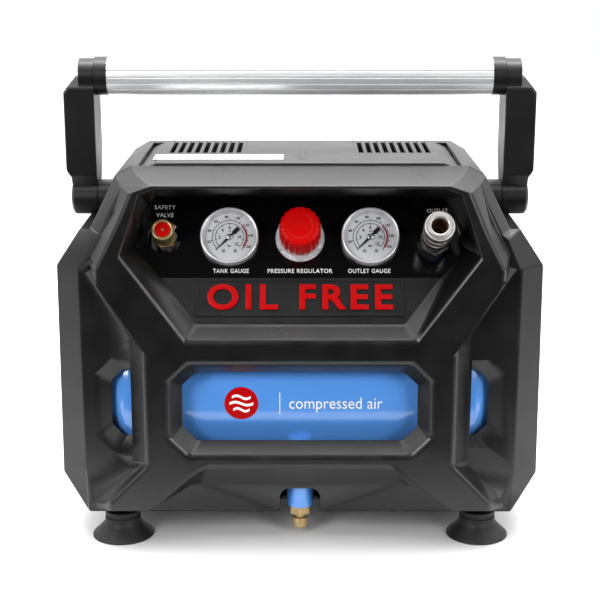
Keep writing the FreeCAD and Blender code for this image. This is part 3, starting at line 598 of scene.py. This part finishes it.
def text_mesh(words, height, thickness=0.1, weight=0.0, round_off=0.0, width=None, spacing=1.0,
              resolution=4):
    """Centred lettering with its capitals `height` tall, standing on local Z = 0."""
    curve = bpy.data.curves.new("text", "FONT")
    curve.body, curve.align_x, curve.align_y = words, "CENTER", "CENTER"
    curve.size, curve.extrude, curve.offset = 1.0, 0.05, weight
    curve.space_character, curve.resolution_u = spacing, resolution
    bm = curve_mesh(curve)
    xs, ys, zs = zip(*[v.co for v in bm.verts])
    low, high = Vector((min(xs), min(ys), min(zs))), Vector((max(xs), max(ys), max(zs)))
    middle, size = (low + high) / 2, high - low
    tall = height / size.y
    wide = width / size.x if width else tall
    bmesh.ops.translate(bm, vec=(-middle.x, -middle.y, -low.z), verts=bm.verts)
    bmesh.ops.scale(bm, vec=(wide, tall, thickness / size.z), verts=bm.verts)
    if round_off:
        bmesh.ops.dissolve_limit(bm, angle_limit=math.radians(1), verts=bm.verts, edges=bm.edges)
        bevel(bm, round_off, 2, lambda e: e.calc_face_angle(0) > 1.0
              and all(v.co.z > thickness - 0.01 for v in e.verts))
    return bm


def circle(r, steps=48, x=0.0, y=0.0, start=0.0, end=2 * math.pi):
    """Points round a circle, or along an arc of it with both its ends."""
    full = abs(end - start - 2 * math.pi) < 1e-6
    angles = [start + (end - start) * i / (steps if full else steps - 1) for i in range(steps)]
    return [(x + r * math.cos(a), y + r * math.sin(a)) for a in angles]


def ring_arc(bm, r_in, r_out, start, end, low, high, matrix=None, slot=0, steps=48):
    """Flat arc from `start` to `end`, in degrees clockwise from twelve o'clock."""
    a, b = math.radians(90 - start), math.radians(90 - end)
    outline = circle(r_out, steps, start=a, end=b) + circle(r_in, steps, start=a, end=b)[::-1]
    prism(bm, outline, low, high, matrix, slot=slot)


def at_clock(degrees, r):
    a = math.radians(90 - degrees)
    return r * math.cos(a), r * math.sin(a)


# ---- gauges ----
DIAL_TOP, PRINT = 3.82, 0.06
SWEEP_START, SWEEP = 225.0, 270.0          # the scale runs clockwise from low left to low right


def dial_print(bm):
    """Scale circles, ticks, numbers and the red zone."""
    top = DIAL_TOP + PRINT
    for r in (11.2, 13.4):
        ring_arc(bm, r - 0.18, r + 0.18, SWEEP_START, SWEEP_START + SWEEP, DIAL_TOP, top)
    ring_arc(bm, 12.5, 13.5, 46, 126, DIAL_TOP, top + 0.04, slot=1)
    for i in range(13):
        tick_mark(bm, 46 + 80 * i / 12, 13.4, 14.9, 0.28, top + 0.04, slot=1)
    for i in range(41):
        angle, long = SWEEP_START + SWEEP * i / 40, i % 5 == 0
        tick_mark(bm, angle, 13.4, 15.0 if long else 14.3, 0.3 if long else 0.2, top)
        tick_mark(bm, angle, 9.9 if long else 10.5, 11.2, 0.3 if long else 0.2, top)
    for words, height, x, y in dial_words():
        add(bm, text_mesh(words, height, PRINT, 0.035), Matrix.Translation((x, y, DIAL_TOP)))
    for x in (-4.6, 4.6):
        ring_arc(bm, 0.02, 1.5, 0, 359.9, DIAL_TOP, top, Matrix.Translation((x, -11.2, 0)), slot=2)


def tick_mark(bm, angle, r_in, r_out, half_w, top, slot=0):
    x, y = at_clock(angle, (r_in + r_out) / 2)
    place = Matrix.Translation((x, y, 0)) @ Matrix.Rotation(math.radians(-angle), 4, "Z")
    half_h = (r_out - r_in) / 2
    prism(bm, [(-half_w, -half_h), (half_w, -half_h), (half_w, half_h), (-half_w, half_h)],
          DIAL_TOP, top, place, slot=slot)


def dial_words():
    """Text, height and place of every number and unit on a dial."""
    words = [("bar", 1.9, 0, -7.0), ("psi", 1.6, 0, 4.8)]
    for number in range(2, 14, 2):
        words.append((str(number), 2.7, *at_clock(SWEEP_START + SWEEP * number / 12, 7.9)))
    for number in range(20, 180, 20):
        words.append((str(number), 2.2, *at_clock(SWEEP_START + SWEEP * number / 171, 16.6)))
    return words


def gauge(prefix, place):
    """Rolled chrome bezel over its can, printed dial and pointer, under the CAD node's domed lens."""
    bm = bmesh.new()
    can = [(0.01, -24), (19.2, -24, 0.8), (20, -23.2, 0.6), (20, 0.1), (22.2, 0.1, 0.5), (22.9, 0.9, 0.6),
           (22.9, 8.0, 0.8), (22.3, 9.8, 0.7), (21.2, 9.8, 0.5), (20.75, 9.0), (20.75, 3.1), (0.01, 3.0)]
    lathe(bm, rounded(can), 128)
    lathe(bm, [(0.01, -36.9), (6.5, -36.9), (6.5, -24.2), (0.01, -24.2)], 48)
    lathe(bm, rounded([(20.7, 7.2), (20.5, 7.3), (19.4, 4.5, 0.4), (19.1, 3.9), (20.7, 3.9),
                       (20.7, 7.2)]), 128)
    piece(prefix + "_bezel", bm, "bezel_wall", "housing", place, prefix + "_case", angle=40)
    bm = bmesh.new()
    lathe(bm, [(0.01, 3.05), (19.2, 3.05), (19.2, 3.8), (0.01, 3.8)], 96)
    piece(prefix + "_dial_plate", bm, "dial", "housing", place)
    bm = bmesh.new()
    dial_print(bm)
    piece(prefix + "_scale", bm, ["ink", "red_ink", "grey_ink"], "housing", place)
    bm = bmesh.new()
    turn = Matrix.Rotation(math.radians(-SWEEP_START), 4, "Z")
    blade = [(-0.95, -1.5), (-0.95, 2.6), (-0.5, 9), (-0.1, 15), (0.1, 15), (0.5, 9), (0.95, 2.6),
             (0.95, -1.5)]
    prism(bm, blade, 4.7, 5.1, turn)
    tail = [(-0.7, -1.5), (0.7, -1.5), (0.8, -4.0), (1.6, -4.5), (1.6, -9.4), (1.2, -9.9),
            (-1.2, -9.9), (-1.6, -9.4), (-1.6, -4.5), (-0.8, -4.0)]
    prism(bm, tail, 4.7, 5.15, turn)
    lathe(bm, rounded([(0.01, 4.55), (2.5, 4.55), (2.5, 5.6, 0.5), (1.1, 5.9, 0.2), (0.9, 5.7),
                       (0.01, 5.7)]), 40,
          slot=1)
    piece(prefix + "_pointer", bm, ["ink", "steel"], prefix + "_needle", place, prefix + "_needle")


gauge("tank_gauge", TANK_GAUGE)
gauge("outlet_gauge", OUTLET_GAUGE)


# ---- regulator knob ----
def ribs(count, depth, power):
    """Radius factor of a rim with `count` rounded ribs."""
    return lambda a: 1 - depth * abs(math.cos(a * count / 2)) ** power


def regulator_knob():
    grip = ribs(20, 0.045, 3)
    profile = [(9.6, 8.7), (15.4, 8.7), (16.2, 9.6), (16.2, 12), (16.0, 31.6), (15.7, 33.4),
               (14.9, 34.7), (13.7, 35.3), (12.2, 35.45), (10.4, 35.4), (9.7, 35.3), (9.3, 35.15),
               (8.6, 35.1), (5.0, 35.2), (0.3, 35.25)]
    share = [0, 0.5, 1, 1, 1, 1, 0.9, 0.55, 0.1] + [0] * 6          # how much of the ribs each ring has
    bm = bmesh.new()
    lathe(bm, profile, 240, wave=lambda a, i: 1 - (1 - grip(a)) * share[i])
    piece("regulator_knob_grip", bm, "red", "regulator_knob", KNOB, "regulator_knob", angle=50)


def regulator_nut():
    bm = bmesh.new()
    lathe(bm, rounded([(13.1, 0.1), (19.0, 0.1, 0.2), (19.25, 0.5), (19.25, 1.4, 0.4), (18.6, 2.1),
                       (13.1, 2.1), (13.1, 0.1)]), 96)
    add(bm, hex_nut(33.4, 2.1, 6.5, 30, 13.1))
    piece("regulator_nut_faces", bm, "bezel_wall", "housing", KNOB, "regulator_nut", angle=28)


def hex_nut(across_flats, low, high, turn_degrees, bore=0.0):
    """Hexagon with its upper rim turned down, as a bmesh."""
    steps = 72
    bm = bmesh.new()
    corner, k = across_flats / math.sqrt(3), math.pi / 3
    levels = [(1.0, low), (1.0, high - 1.6), (0.93, high - 0.5), (0.885, high)]
    rings = []
    for reach, z in levels:
        ring = []
        for i in range(steps):
            a = 2 * math.pi * i / steps
            r = min(across_flats / 2 / math.cos((a % k) - k / 2), corner * reach)
            b = a + math.radians(turn_degrees)
            ring.append(Vector((r * math.cos(b), r * math.sin(b), z)))
        rings.append(ring)
    if bore:
        for z in (high, low):
            rings.append([Vector((bore * math.cos(a), bore * math.sin(a), z)) for a in
                          [2 * math.pi * i / steps + math.radians(turn_degrees) for i in range(steps)]])
        rings.append(rings[0])
        loft(bm, rings, cap=False)
        bmesh.ops.remove_doubles(bm, verts=bm.verts, dist=0.001)
    else:
        loft(bm, rings)
    return bm


regulator_knob()
regulator_nut()


# ---- safety valve ----
def safety_valve():
    bm = bmesh.new()
    lathe(bm, rounded([(0.01, -37), (6, -37), (6, -8), (7.4, -7, 0.4), (7.9, -6), (7.9, 4.6),
                       (7.5, 5.2), (7.5, 7.4), (8.0, 8.0), (8.0, 14.6, 0.4), (7.4, 15.0),
                       (2.1, 15.0), (2.1, -5), (0.01, -5)]), 72)
    prism(bm, hexagon(16.6, 14), -6.2, 2.4)
    piece("safety_valve_barrel", bm, "brass", "housing", SAFETY, "safety_valve_body")
    bm = bmesh.new()
    lathe(bm, rounded([(0.01, 15.3), (7.8, 15.3, 0.3), (8.6, 16.1, 0.4), (8.6, 20.9, 0.6),
                       (8.1, 21.8, 0.5), (6.7, 21.8, 0.4), (6.1, 20.9, 0.2), (0.01, 20.7)]), 96)
    lathe(bm, rounded([(0.01, 20.5), (6.0, 20.5), (6.0, 21.2, 0.4), (5.4, 21.35), (1.5, 21.3, 0.3),
                       (0.8, 20.6), (0.01, 20.55)]), 72, slot=1)
    lathe(bm, [(0.01, 0), (1.95, 0), (1.95, 15.4), (0.01, 15.4)], 32)
    piece("safety_valve_button", bm, ["brass", "red"], "safety_valve_cap", SAFETY, "safety_valve_cap")


safety_valve()


# ---- quick coupler ----
def darken_below(bm, height):
    """Painted shade: the second material on every face below a height, the part nearer the panel."""
    for face in bm.faces:
        face.material_index = int(face.calc_center_median().z < height)


def coupler():
    bm = bmesh.new()
    knurl = ribs(40, 0.03, 2)
    profile = rounded([(9.0, 21.0), (10.6, 21.0, 0.3), (10.9, 21.8), (11.4, 22.6), (11.5, 24),
                       (11.5, 28.2), (11.3, 29.4), (10.7, 30.4, 0.3), (10.7, 32), (11.4, 33.2),
                       (11.55, 34), (11.55, 39), (11.3, 40.2, 0.3), (10.6, 40.9, 0.3),
                       (10.6, 41.5, 0.3), (11.5, 42.1, 0.4), (11.7, 43), (11.7, 50.6, 0.7),
                       (11.1, 51.6, 0.4), (9.62, 51.6), (9.62, 48.6), (9.0, 48.0), (9.0, 21.0)])

    def grips(a, i):
        r, h = profile[i]
        return knurl(a) if r > 11 and (33.9 < h < 39.1 or 23.9 < h < 28.3) else 1

    lathe(bm, profile, 200, wave=grips)
    for k in range(6):
        ball = Matrix.Rotation(2 * math.pi * (k + 0.5) / 6, 4, "Z") @ Matrix.Translation((10.7, 0, 31.2))
        bmesh.ops.create_uvsphere(bm, u_segments=20, v_segments=12, radius=0.95, matrix=ball)
    # painted shade on the sleeve's part nearer the panel
    darken_below(bm, 29)
    piece("coupler_sleeve_knurled", bm, ["nickel", "nickel_painted_shade"], "coupler_sleeve", COUPLER,
          "coupler_sleeve", angle=45)
    bm = bmesh.new()
    lathe(bm, rounded([(3.0, -37), (7, -37, 0.3), (7, -10), (9.6, -9, 0.4), (10, -8, 0.3), (10, 1),
                       (9.3, 9), (9.3, 14.2, 0.3), (8.4, 15.4), (8.4, 49), (9.3, 50, 0.2),
                       (9.4, 52.0, 0.3), (9.0, 52.6, 0.3), (6.9, 52.6, 0.4), (6.3, 51.8),
                       (6.3, 25.8), (5.6, 25.8), (5.6, 7.6), (3.1, 7.6), (3.0, -37)]), 96)
    prism(bm, hexagon(21, 30), 2, 10)
    # painted shade on the socket's part nearer the panel
    darken_below(bm, 20)
    piece("coupler_socket", bm, ["nickel", "nickel_painted_shade"], "housing", COUPLER, "coupler_body", angle=40)
    bm = bmesh.new()
    liner = [(6.22, 47), (6.22, 26.4), (5.45, 26.4), (5.45, 8), (3.02, 8), (3.02, -30), (3.2, -30),
             (3.2, 7.8), (5.7, 7.8), (5.7, 25.9), (6.4, 25.9), (6.4, 47), (6.22, 47)]
    lathe(bm, liner, 96)
    piece("coupler_liner", bm, "old_brass", "housing", COUPLER, angle=30)
    bm = bmesh.new()
    lathe(bm, rounded([(2.0, 14.2), (3.2, 14.2), (3.2, 20.2), (5.2, 21), (5.2, 24.3, 0.3),
                       (4.4, 25.2, 0.3), (3.4, 25.9, 0.3), (2.6, 25.9, 0.3), (2.2, 24.8), (2.0, 20),
                       (2.0, 14.2)]), 64)
    lathe(bm, [(0.01, 19.4), (2.05, 19.4), (2.05, 19.8), (0.01, 19.8)], 48, slot=1)
    piece("coupler_poppet_ring", bm, ["old_brass", "ink"], "coupler_poppet", COUPLER, "coupler_poppet")


coupler()


# ---- panel label, name plate and lettering ----
LABEL_THICK = 0.16


def panel_label():
    """Gloss label over the upper panel, with a hole round each fitting."""
    right = [(110, -14), (129.8, 9), (122.5, 47.5), (117, 51)]
    label = [(-u, v) for u, v in reversed(right)] + right
    holes = [circle(20.8, 64, -GAUGE_U, ROW_V), circle(20.8, 64, GAUGE_U, ROW_V), circle(14, 64, 0, ROW_V),
             circle(13.2, 64, *SAFETY_UV), circle(13.2, 64, *COUPLER_UV)]
    bm = outline_curve([label] + holes, LABEL_THICK)
    piece("panel_label", bm, "gloss_black", "housing", on_panel(0, 0, LABEL_THICK / 2))


panel_label()


def lettering():
    bm = bmesh.new()
    for words, width, u, v in (("TANK GAUGE", 28, -53.8, -8.4), ("PRESSURE REGULATOR", 50.5, 0, -8.4),
                               ("OUTLET GAUGE", 33, 54, -8.4), ("SAFETY", 16.5, -106.3, 43.4),
                               ("VALVE", 13.6, -106.3, 37.0), ("OUTLET", 16.5, 108.3, 40.6)):
        words_mesh = text_mesh(words, 3.3, 0.08, 0.002, width=width, spacing=1.08)
        add(bm, words_mesh, Matrix.Translation((u, v, LABEL_THICK)))
    piece("panel_lettering", bm, "white_ink", "housing", PANEL)
    bm = text_mesh("OIL FREE", 20.5, 1.5, 0.028, 0.35, width=144, spacing=1.22, resolution=6)
    piece("raised_lettering", bm, "red_paint", "housing", on_panel(0, -29.6, 0.5), angle=30)


lettering()
moulded("name_plate_rounded", "name_plate", "satin_black", "housing", 0.4)


# ---- top cover details ----
COVER_TOP = 306.8                       # height of the cover's flat top


def cover_details():
    """Blank white label and a low tapered rib, both lying on the cover's flat top."""
    bm = bmesh.new()
    sticker = [(-114, 47), (-13, 47), (-13, 72), (-114, 72)]
    prism(bm, [(x, FRONT_MM + y) for x, y in sticker], COVER_TOP + 0.02, COVER_TOP + 0.22)
    piece("cover_label", bm, "sticker", "housing")
    bm = bmesh.new()
    rings = []
    middle, start, length, sunk = 2, 50, 52, 0.2
    for t in [i / 10 for i in range(11)]:
        half, high = 4.2 - 2.0 * t, 0.15 + 1.35 * math.sin(math.pi * t) ** 0.6
        y, z = FRONT_MM + start + length * t, COVER_TOP - sunk
        rings.append([Vector((middle + half * math.cos(a), y, z + (high + sunk) * max(0, math.sin(a))))
                      for a in [math.pi * k / 12 for k in range(13)]])
    loft(bm, rings)
    piece("cover_rib", bm, "cover", "housing")


cover_details()


# ---- tank emblem ----
TANK_R = 76.0
TANK_AXIS_Y, TANK_AXIS_Z = FRONT_MM + MID_DEPTH, 116.0


def wrapped(bm, x, z, lift=0.1):
    """Bend a flat mark round the front of the tank, its middle at (x, z)."""
    for v in bm.verts:
        height = z + v.co.y - TANK_AXIS_Z
        r = TANK_R + lift + v.co.z
        a = height / TANK_R
        v.co = Vector((x + v.co.x, TANK_AXIS_Y - r * math.cos(a), TANK_AXIS_Z + r * math.sin(a)))


def emblem():
    """Generic mark: a red disc with three air streams, a rule and two plain words."""
    mark_x, mark_z = -46.5, 115.5
    bm = bmesh.new()
    add(bm, outline_curve([circle(13.5, 64)], 0.1))
    wrapped(bm, mark_x, mark_z)
    piece("tank_mark_disc", bm, "red_paint", "housing")
    bm = bmesh.new()
    for k, length in ((1, 15.0), (0, 19.0), (-1, 13.0)):
        y, n = k * 5.2, 18
        upper = [(-length / 2 + length * i / n, y + 1.1 + 1.3 * math.sin(2 * math.pi * i / n))
                 for i in range(n + 1)]
        lower = [(px, py - 2.2) for px, py in reversed(upper)]
        add(bm, outline_curve([upper + lower], 0.1))
    side = [-9 + k for k in range(19)]
    rule = [(0.3, k) for k in side] + [(-0.3, k) for k in reversed(side)]
    add(bm, outline_curve([rule], 0.1), Matrix.Translation((30.5, 0, 0)))
    add(bm, text_mesh("compressed air", 12.4, 0.1, -0.004, width=74), Matrix.Translation((75, -1.2, -0.05)))
    wrapped(bm, mark_x, mark_z, 0.22)
    piece("tank_mark_print", bm, "white_ink", "housing")


emblem()


# ---- feet ----
def foot(node):
    low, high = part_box(node)
    x, y = (low.x + high.x) / 2, (low.y + high.y) / 2
    top = high.z / MM
    bm = bmesh.new()
    lathe(bm, rounded([(4.1, 3.4), (18.6, 3.5, 0.6), (22.8, 0.02, 0.4), (24.8, 0.02, 0.3),
                       (24.9, 1.2, 0.6), (20.4, 5.4, 5), (15.4, 10.7, 2), (14.4, 13.0, 1),
                       (14.4, 16.4, 0.3), (13.3, 16.8, 0.2), (13.3, 17.8, 0.2), (14.4, 18.3, 0.3),
                       (14.4, top - 0.1), (4.1, top - 0.1), (4.1, 3.4)]), 96)
    piece(node + "_rubber", bm, "rubber", "housing", Matrix.Translation((x, y, 0)), node, angle=40)


for foot_node in ("foot_front_left", "foot_front_right", "foot_rear_left", "foot_rear_right"):
    foot(foot_node)


# ---- drain valve ----
def drain_valve():
    knob = node_centre("drain_valve_knob")
    place = Matrix.Translation((knob.x, knob.y, 0))
    bm = bmesh.new()
    lathe(bm, rounded([(2.52, 16.8), (5.4, 16.8, 0.3), (5.6, 17.2), (5.6, 18.4), (4.9, 18.8),
                       (4.9, 39), (2.52, 39), (2.52, 16.8)]), 64)
    add(bm, hex_nut(15.4, 18.5, 25.95, 30))
    piece("drain_valve_fitting", bm, "brass", "housing", place, "drain_valve_body", angle=35)
    bm = bmesh.new()
    grip = ribs(22, 0.07, 2)
    lathe(bm, rounded([(0.01, 6.0), (5.4, 6.0, 0.4), (6.4, 7.0, 0.2), (6.5, 8.0), (6.5, 13.2),
                       (6.2, 14.2, 0.2), (5.2, 14.6, 0.3), (3.6, 14.8), (3.6, 16.3), (2.48, 16.4),
                       (2.48, 33.8), (0.01, 34)]), 132,
          wave=lambda a, i: grip(a) if 4 <= i <= 9 else 1)
    piece("drain_valve_thumbscrew", bm, "brass", "drain_valve_knob", place, "drain_valve_knob", angle=40)


drain_valve()


# ---- rear fittings ----
SWITCH_Z = 0.236


def rear_place(x, z):
    """Frame on the rear face: local Z points out to the rear."""
    return Matrix.Translation((x, FRONT_Y + 2 * MID_DEPTH * MM, z)) @ Matrix.Rotation(-math.pi / 2, 4, "X")


def cord_gland():
    centre = node_centre("cord_gland")
    bm = bmesh.new()
    waves = ribs(24, 0.04, 2)
    lathe(bm, rounded([(4.02, -9.9), (7.9, -9.9, 0.4), (7.9, 0.1), (11.4, 0.1, 0.3), (12, 0.6, 0.3),
                       (12, 2.8, 0.5), (9.4, 6.4, 0.5), (8.9, 7.4, 0.4), (7.6, 8.0, 0.4),
                       (4.8, 8.0, 0.5), (4.02, 7.3), (4.02, -9.9)]), 96,
          wave=lambda a, i: waves(a) if 7 <= i <= 14 else 1)
    piece("cord_gland_ring", bm, "satin_black", "housing", rear_place(centre.x, centre.z), "cord_gland")


def switch_frame():
    """Raised frame round the rocker."""
    centre = node_centre("power_switch")
    bm = bmesh.new()
    outer = [(-13, -17.5), (13, -17.5), (13, 17.5), (-13, 17.5)]
    inner = [(-10.3, -14.3), (10.3, -14.3), (10.3, 14.3), (-10.3, 14.3)]
    add(bm, outline_curve([outer, inner], 2.0), Matrix.Translation((0, 0, 1.05)))
    bevel(bm, 0.5, 2, lambda e: len(e.link_faces) == 2 and e.calc_face_angle(0) > math.radians(20))
    piece("switch_frame", bm, "satin_black", "housing", rear_place(centre.x, SWITCH_Z))


cord_gland()
switch_frame()


# ---- studio ----
FLOOR_EDGES = (3000, -260, 4000)                        # mm: to either side, in front, behind
SIDE_LIGHT, TOP_LIGHT, FRONT_LIGHT = 0.95, 3.8, 0.02    # strength of the surroundings
LIT_POINT = (0, 0, 0.2)                                 # where the lights aim, in metres


def area_light(name, location, size, watts):
    """Soft white light that faces the middle of the object."""
    data = bpy.data.lights.new(name, "AREA")
    data.shape, data.size, data.size_y, data.energy = "RECTANGLE", *size, watts
    light = bpy.data.objects.new(name, data)
    light.location = location
    light.rotation_euler = (Vector(LIT_POINT) - Vector(location)).to_track_quat("-Z", "Y").to_euler()
    bpy.context.scene.collection.objects.link(light)


def floor():
    """Pale floor that ends a little in front, so that the upright front faces mirror no floor."""
    bm = bmesh.new()
    side, front, back = FLOOR_EDGES
    corners = [(-side, front), (side, front), (side, back), (-side, back)]
    bm.faces.new([bm.verts.new((x, y, 0)) for x, y in corners])
    mesh = bpy.data.meshes.new("floor")
    bm.to_mesh(mesh)
    bm.free()
    mesh.transform(Matrix.Scale(MM, 4))
    obj = bpy.data.objects.new("floor", mesh)
    bpy.context.scene.collection.objects.link(obj)
    mesh.materials.append(material("floor_white", (0.62, 0.62, 0.62), 0.6, grain=0.02, cloud=0.01))


def studio_world():
    """White tent: bright overhead and behind, softer at the sides, dark towards the front."""
    world = bpy.data.worlds.new("studio")
    bpy.context.scene.world = world
    world.use_nodes = True
    nodes, links = world.node_tree.nodes, world.node_tree.links

    def ramp(value, low, high, to_low, to_high):
        node = nodes.new("ShaderNodeMapRange")
        node.interpolation_type = "SMOOTHSTEP"
        for key, number in (("From Min", low), ("From Max", high), ("To Min", to_low), ("To Max", to_high)):
            node.inputs[key].default_value = number
        links.new(value, node.inputs["Value"])
        return node.outputs["Result"]

    def combine(kind, a, b):
        node = nodes.new("ShaderNodeMath")
        node.operation = kind
        links.new(a, node.inputs[0])
        links.new(b, node.inputs[1])
        return node.outputs["Value"]

    split = nodes.new("ShaderNodeSeparateXYZ")
    links.new(nodes.new("ShaderNodeTexCoord").outputs["Generated"], split.inputs["Vector"])
    tent = ramp(split.outputs["Z"], 0.1, 0.9, SIDE_LIGHT, TOP_LIGHT)
    from_front = ramp(split.outputs["Y"], -0.6, -0.1, FRONT_LIGHT, 1)
    overhead = ramp(split.outputs["Z"], 0.72, 0.92, 0, 1)
    share = combine("MAXIMUM", from_front, overhead)
    lit = combine("MULTIPLY", tent, share)
    seen = nodes.new("ShaderNodeLightPath").outputs["Is Camera Ray"]
    background = nodes["Background"]
    background.inputs["Color"].default_value = (1, 1, 1, 1)
    links.new(combine("MAXIMUM", lit, seen), background.inputs["Strength"])


floor()
studio_world()
bpy.context.scene.view_settings.view_transform = "Standard"
area_light("key", (-1.1, -1.5, 0.95), (0.7, 0.7), 25)
area_light("fill", (1.2, -1.4, 0.8), (0.7, 0.7), 19)
area_light("overhead", (0, 0.25, 2.2), (1.6, 0.8), 60)
